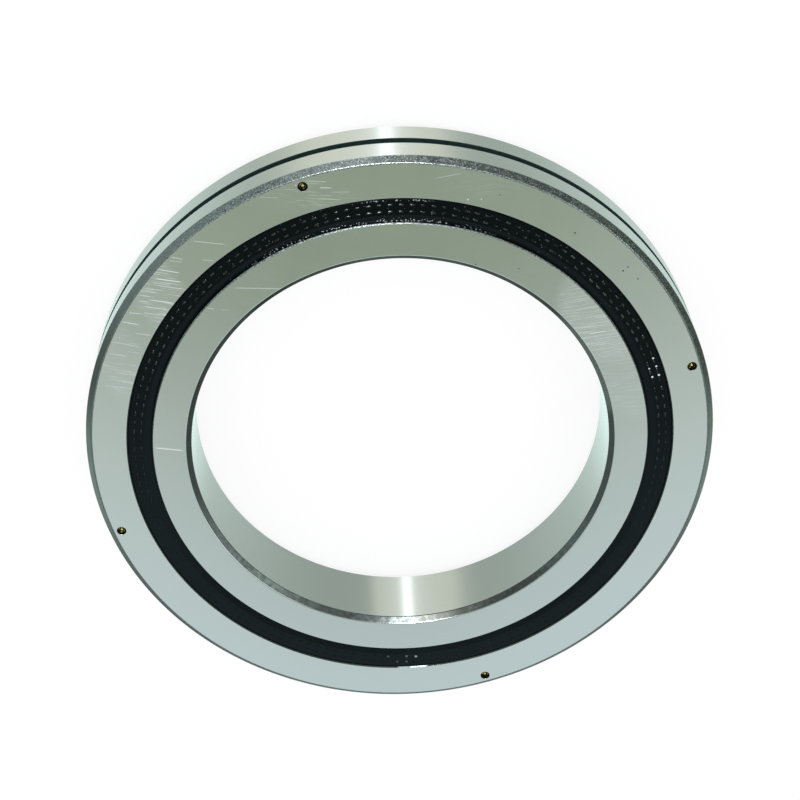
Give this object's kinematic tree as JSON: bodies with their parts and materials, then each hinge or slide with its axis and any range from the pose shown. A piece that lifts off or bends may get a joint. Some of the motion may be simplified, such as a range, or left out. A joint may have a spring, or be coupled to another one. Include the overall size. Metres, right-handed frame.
{
  "type": "crossed roller bearing",
  "caption": "Sealed crossed roller bearing with a solid inner ring, a split and riveted outer ring, crossed rollers in a cage and a black seal in each face.",
  "frame": {"origin": "middle of the lower side face, on the bearing's axis, where the bearing lies on a flat surface", "axes": "+Z along the bearing's axis, away from the surface it lies on; the first roller lies on +X"},
  "size_m": [0.15, 0.15, 0.02],
  "materials": {
    "ring_steel": "ground",
    "roller_steel": "polished",
    "seal_rubber": "oily satin",
    "rivet_brass": "bright",
    "cage_polyamide": "moulded"
  },
  "bodies": {
    "outer_ring": {"outer_ring_upper": "ring_steel", "outer_ring_lower": "ring_steel", "seal_upper": "seal_rubber", "seal_lower": "seal_rubber", "rivet_1": "rivet_brass", "rivet_2": "rivet_brass", "rivet_3": "rivet_brass", "rivet_4": "rivet_brass"},
    "inner_ring": {"inner_ring": "ring_steel"},
    "cage": {"roller_cage": "cage_polyamide"},
    "roller_01": {"roller_01": "roller_steel"},
    "roller_02": {"roller_02": "roller_steel"},
    "roller_03": {"roller_03": "roller_steel"},
    "roller_04": {"roller_04": "roller_steel"},
    "roller_05": {"roller_05": "roller_steel"},
    "roller_06": {"roller_06": "roller_steel"},
    "roller_07": {"roller_07": "roller_steel"},
    "roller_08": {"roller_08": "roller_steel"},
    "roller_09": {"roller_09": "roller_steel"},
    "roller_10": {"roller_10": "roller_steel"},
    "roller_11": {"roller_11": "roller_steel"},
    "roller_12": {"roller_12": "roller_steel"},
    "roller_13": {"roller_13": "roller_steel"},
    "roller_14": {"roller_14": "roller_steel"},
    "roller_15": {"roller_15": "roller_steel"},
    "roller_16": {"roller_16": "roller_steel"},
    "roller_17": {"roller_17": "roller_steel"},
    "roller_18": {"roller_18": "roller_steel"},
    "roller_19": {"roller_19": "roller_steel"},
    "roller_20": {"roller_20": "roller_steel"},
    "roller_21": {"roller_21": "roller_steel"},
    "roller_22": {"roller_22": "roller_steel"},
    "roller_23": {"roller_23": "roller_steel"},
    "roller_24": {"roller_24": "roller_steel"},
    "roller_25": {"roller_25": "roller_steel"},
    "roller_26": {"roller_26": "roller_steel"},
    "roller_27": {"roller_27": "roller_steel"},
    "roller_28": {"roller_28": "roller_steel"},
    "roller_29": {"roller_29": "roller_steel"},
    "roller_30": {"roller_30": "roller_steel"},
    "roller_31": {"roller_31": "roller_steel"},
    "roller_32": {"roller_32": "roller_steel"},
    "roller_33": {"roller_33": "roller_steel"},
    "roller_34": {"roller_34": "roller_steel"},
    "roller_35": {"roller_35": "roller_steel"},
    "roller_36": {"roller_36": "roller_steel"},
    "roller_37": {"roller_37": "roller_steel"},
    "roller_38": {"roller_38": "roller_steel"},
    "roller_39": {"roller_39": "roller_steel"},
    "roller_40": {"roller_40": "roller_steel"}
  },
  "joints": [
    {"name": "inner_ring_spin", "type": "hinge", "parent": "outer_ring", "child": "inner_ring", "pos_m": [0, 0, 0.01], "axis": [0, 0, 1], "continuous": true},
    {"name": "cage_spin", "type": "hinge", "parent": "outer_ring", "child": "cage", "pos_m": [0, 0, 0.01], "axis": [0, 0, 1], "continuous": true},
    {"name": "roller_01_spin", "type": "hinge", "parent": "cage", "child": "roller_01", "pos_m": [0.0622, 0, 0.01], "axis": [0.7071, 0, 0.7071], "continuous": true},
    {"name": "roller_02_spin", "type": "hinge", "parent": "cage", "child": "roller_02", "pos_m": [0.06143, 0.00973, 0.01], "axis": [-0.6984, -0.1106, 0.7071], "continuous": true},
    {"name": "roller_03_spin", "type": "hinge", "parent": "cage", "child": "roller_03", "pos_m": [0.05916, 0.01922, 0.01], "axis": [0.6725, 0.2185, 0.7071], "continuous": true},
    {"name": "roller_04_spin", "type": "hinge", "parent": "cage", "child": "roller_04", "pos_m": [0.05542, 0.02824, 0.01], "axis": [-0.63, -0.321, 0.7071], "continuous": true},
    {"name": "roller_05_spin", "type": "hinge", "parent": "cage", "child": "roller_05", "pos_m": [0.05032, 0.03656, 0.01], "axis": [0.5721, 0.4156, 0.7071], "continuous": true},
    {"name": "roller_06_spin", "type": "hinge", "parent": "cage", "child": "roller_06", "pos_m": [0.04398, 0.04398, 0.01], "axis": [-0.5, -0.5, 0.7071], "continuous": true},
    {"name": "roller_07_spin", "type": "hinge", "parent": "cage", "child": "roller_07", "pos_m": [0.03656, 0.05032, 0.01], "axis": [0.4156, 0.5721, 0.7071], "continuous": true},
    {"name": "roller_08_spin", "type": "hinge", "parent": "cage", "child": "roller_08", "pos_m": [0.02824, 0.05542, 0.01], "axis": [-0.321, -0.63, 0.7071], "continuous": true},
    {"name": "roller_09_spin", "type": "hinge", "parent": "cage", "child": "roller_09", "pos_m": [0.01922, 0.05916, 0.01], "axis": [0.2185, 0.6725, 0.7071], "continuous": true},
    {"name": "roller_10_spin", "type": "hinge", "parent": "cage", "child": "roller_10", "pos_m": [0.00973, 0.06143, 0.01], "axis": [-0.1106, -0.6984, 0.7071], "continuous": true},
    {"name": "roller_11_spin", "type": "hinge", "parent": "cage", "child": "roller_11", "pos_m": [0, 0.0622, 0.01], "axis": [0, 0.7071, 0.7071], "continuous": true},
    {"name": "roller_12_spin", "type": "hinge", "parent": "cage", "child": "roller_12", "pos_m": [-0.00973, 0.06143, 0.01], "axis": [0.1106, -0.6984, 0.7071], "continuous": true},
    {"name": "roller_13_spin", "type": "hinge", "parent": "cage", "child": "roller_13", "pos_m": [-0.01922, 0.05916, 0.01], "axis": [-0.2185, 0.6725, 0.7071], "continuous": true},
    {"name": "roller_14_spin", "type": "hinge", "parent": "cage", "child": "roller_14", "pos_m": [-0.02824, 0.05542, 0.01], "axis": [0.321, -0.63, 0.7071], "continuous": true},
    {"name": "roller_15_spin", "type": "hinge", "parent": "cage", "child": "roller_15", "pos_m": [-0.03656, 0.05032, 0.01], "axis": [-0.4156, 0.5721, 0.7071], "continuous": true},
    {"name": "roller_16_spin", "type": "hinge", "parent": "cage", "child": "roller_16", "pos_m": [-0.04398, 0.04398, 0.01], "axis": [0.5, -0.5, 0.7071], "continuous": true},
    {"name": "roller_17_spin", "type": "hinge", "parent": "cage", "child": "roller_17", "pos_m": [-0.05032, 0.03656, 0.01], "axis": [-0.5721, 0.4156, 0.7071], "continuous": true},
    {"name": "roller_18_spin", "type": "hinge", "parent": "cage", "child": "roller_18", "pos_m": [-0.05542, 0.02824, 0.01], "axis": [0.63, -0.321, 0.7071], "continuous": true},
    {"name": "roller_19_spin", "type": "hinge", "parent": "cage", "child": "roller_19", "pos_m": [-0.05916, 0.01922, 0.01], "axis": [-0.6725, 0.2185, 0.7071], "continuous": true},
    {"name": "roller_20_spin", "type": "hinge", "parent": "cage", "child": "roller_20", "pos_m": [-0.06143, 0.00973, 0.01], "axis": [0.6984, -0.1106, 0.7071], "continuous": true},
    {"name": "roller_21_spin", "type": "hinge", "parent": "cage", "child": "roller_21", "pos_m": [-0.0622, 0, 0.01], "axis": [-0.7071, 0, 0.7071], "continuous": true},
    {"name": "roller_22_spin", "type": "hinge", "parent": "cage", "child": "roller_22", "pos_m": [-0.06143, -0.00973, 0.01], "axis": [0.6984, 0.1106, 0.7071], "continuous": true},
    {"name": "roller_23_spin", "type": "hinge", "parent": "cage", "child": "roller_23", "pos_m": [-0.05916, -0.01922, 0.01], "axis": [-0.6725, -0.2185, 0.7071], "continuous": true},
    {"name": "roller_24_spin", "type": "hinge", "parent": "cage", "child": "roller_24", "pos_m": [-0.05542, -0.02824, 0.01], "axis": [0.63, 0.321, 0.7071], "continuous": true},
    {"name": "roller_25_spin", "type": "hinge", "parent": "cage", "child": "roller_25", "pos_m": [-0.05032, -0.03656, 0.01], "axis": [-0.5721, -0.4156, 0.7071], "continuous": true},
    {"name": "roller_26_spin", "type": "hinge", "parent": "cage", "child": "roller_26", "pos_m": [-0.04398, -0.04398, 0.01], "axis": [0.5, 0.5, 0.7071], "continuous": true},
    {"name": "roller_27_spin", "type": "hinge", "parent": "cage", "child": "roller_27", "pos_m": [-0.03656, -0.05032, 0.01], "axis": [-0.4156, -0.5721, 0.7071], "continuous": true},
    {"name": "roller_28_spin", "type": "hinge", "parent": "cage", "child": "roller_28", "pos_m": [-0.02824, -0.05542, 0.01], "axis": [0.321, 0.63, 0.7071], "continuous": true},
    {"name": "roller_29_spin", "type": "hinge", "parent": "cage", "child": "roller_29", "pos_m": [-0.01922, -0.05916, 0.01], "axis": [-0.2185, -0.6725, 0.7071], "continuous": true},
    {"name": "roller_30_spin", "type": "hinge", "parent": "cage", "child": "roller_30", "pos_m": [-0.00973, -0.06143, 0.01], "axis": [0.1106, 0.6984, 0.7071], "continuous": true},
    {"name": "roller_31_spin", "type": "hinge", "parent": "cage", "child": "roller_31", "pos_m": [0, -0.0622, 0.01], "axis": [0, -0.7071, 0.7071], "continuous": true},
    {"name": "roller_32_spin", "type": "hinge", "parent": "cage", "child": "roller_32", "pos_m": [0.00973, -0.06143, 0.01], "axis": [-0.1106, 0.6984, 0.7071], "continuous": true},
    {"name": "roller_33_spin", "type": "hinge", "parent": "cage", "child": "roller_33", "pos_m": [0.01922, -0.05916, 0.01], "axis": [0.2185, -0.6725, 0.7071], "continuous": true},
    {"name": "roller_34_spin", "type": "hinge", "parent": "cage", "child": "roller_34", "pos_m": [0.02824, -0.05542, 0.01], "axis": [-0.321, 0.63, 0.7071], "continuous": true},
    {"name": "roller_35_spin", "type": "hinge", "parent": "cage", "child": "roller_35", "pos_m": [0.03656, -0.05032, 0.01], "axis": [0.4156, -0.5721, 0.7071], "continuous": true},
    {"name": "roller_36_spin", "type": "hinge", "parent": "cage", "child": "roller_36", "pos_m": [0.04398, -0.04398, 0.01], "axis": [-0.5, 0.5, 0.7071], "continuous": true},
    {"name": "roller_37_spin", "type": "hinge", "parent": "cage", "child": "roller_37", "pos_m": [0.05032, -0.03656, 0.01], "axis": [0.5721, -0.4156, 0.7071], "continuous": true},
    {"name": "roller_38_spin", "type": "hinge", "parent": "cage", "child": "roller_38", "pos_m": [0.05542, -0.02824, 0.01], "axis": [-0.63, 0.321, 0.7071], "continuous": true},
    {"name": "roller_39_spin", "type": "hinge", "parent": "cage", "child": "roller_39", "pos_m": [0.05916, -0.01922, 0.01], "axis": [0.6725, -0.2185, 0.7071], "continuous": true},
    {"name": "roller_40_spin", "type": "hinge", "parent": "cage", "child": "roller_40", "pos_m": [0.06143, -0.00973, 0.01], "axis": [-0.6984, 0.1106, 0.7071], "continuous": true}
  ],
  "couplings": [
    {"joint": "cage_spin", "follows": "inner_ring_spin", "ratio": 0.47726},
    {"joint": "roller_01_spin", "follows": "inner_ring_spin", "ratio": -7.7589},
    {"joint": "roller_02_spin", "follows": "inner_ring_spin", "ratio": -7.7589},
    {"joint": "roller_03_spin", "follows": "inner_ring_spin", "ratio": -7.7589},
    {"joint": "roller_04_spin", "follows": "inner_ring_spin", "ratio": -7.7589},
    {"joint": "roller_05_spin", "follows": "inner_ring_spin", "ratio": -7.7589},
    {"joint": "roller_06_spin", "follows": "inner_ring_spin", "ratio": -7.7589},
    {"joint": "roller_07_spin", "follows": "inner_ring_spin", "ratio": -7.7589},
    {"joint": "roller_08_spin", "follows": "inner_ring_spin", "ratio": -7.7589},
    {"joint": "roller_09_spin", "follows": "inner_ring_spin", "ratio": -7.7589},
    {"joint": "roller_10_spin", "follows": "inner_ring_spin", "ratio": -7.7589},
    {"joint": "roller_11_spin", "follows": "inner_ring_spin", "ratio": -7.7589},
    {"joint": "roller_12_spin", "follows": "inner_ring_spin", "ratio": -7.7589},
    {"joint": "roller_13_spin", "follows": "inner_ring_spin", "ratio": -7.7589},
    {"joint": "roller_14_spin", "follows": "inner_ring_spin", "ratio": -7.7589},
    {"joint": "roller_15_spin", "follows": "inner_ring_spin", "ratio": -7.7589},
    {"joint": "roller_16_spin", "follows": "inner_ring_spin", "ratio": -7.7589},
    {"joint": "roller_17_spin", "follows": "inner_ring_spin", "ratio": -7.7589},
    {"joint": "roller_18_spin", "follows": "inner_ring_spin", "ratio": -7.7589},
    {"joint": "roller_19_spin", "follows": "inner_ring_spin", "ratio": -7.7589},
    {"joint": "roller_20_spin", "follows": "inner_ring_spin", "ratio": -7.7589},
    {"joint": "roller_21_spin", "follows": "inner_ring_spin", "ratio": -7.7589},
    {"joint": "roller_22_spin", "follows": "inner_ring_spin", "ratio": -7.7589},
    {"joint": "roller_23_spin", "follows": "inner_ring_spin", "ratio": -7.7589},
    {"joint": "roller_24_spin", "follows": "inner_ring_spin", "ratio": -7.7589},
    {"joint": "roller_25_spin", "follows": "inner_ring_spin", "ratio": -7.7589},
    {"joint": "roller_26_spin", "follows": "inner_ring_spin", "ratio": -7.7589},
    {"joint": "roller_27_spin", "follows": "inner_ring_spin", "ratio": -7.7589},
    {"joint": "roller_28_spin", "follows": "inner_ring_spin", "ratio": -7.7589},
    {"joint": "roller_29_spin", "follows": "inner_ring_spin", "ratio": -7.7589},
    {"joint": "roller_30_spin", "follows": "inner_ring_spin", "ratio": -7.7589},
    {"joint": "roller_31_spin", "follows": "inner_ring_spin", "ratio": -7.7589},
    {"joint": "roller_32_spin", "follows": "inner_ring_spin", "ratio": -7.7589},
    {"joint": "roller_33_spin", "follows": "inner_ring_spin", "ratio": -7.7589},
    {"joint": "roller_34_spin", "follows": "inner_ring_spin", "ratio": -7.7589},
    {"joint": "roller_35_spin", "follows": "inner_ring_spin", "ratio": -7.7589},
    {"joint": "roller_36_spin", "follows": "inner_ring_spin", "ratio": -7.7589},
    {"joint": "roller_37_spin", "follows": "inner_ring_spin", "ratio": -7.7589},
    {"joint": "roller_38_spin", "follows": "inner_ring_spin", "ratio": -7.7589},
    {"joint": "roller_39_spin", "follows": "inner_ring_spin", "ratio": -7.7589},
    {"joint": "roller_40_spin", "follows": "inner_ring_spin", "ratio": -7.7589}
  ]
}
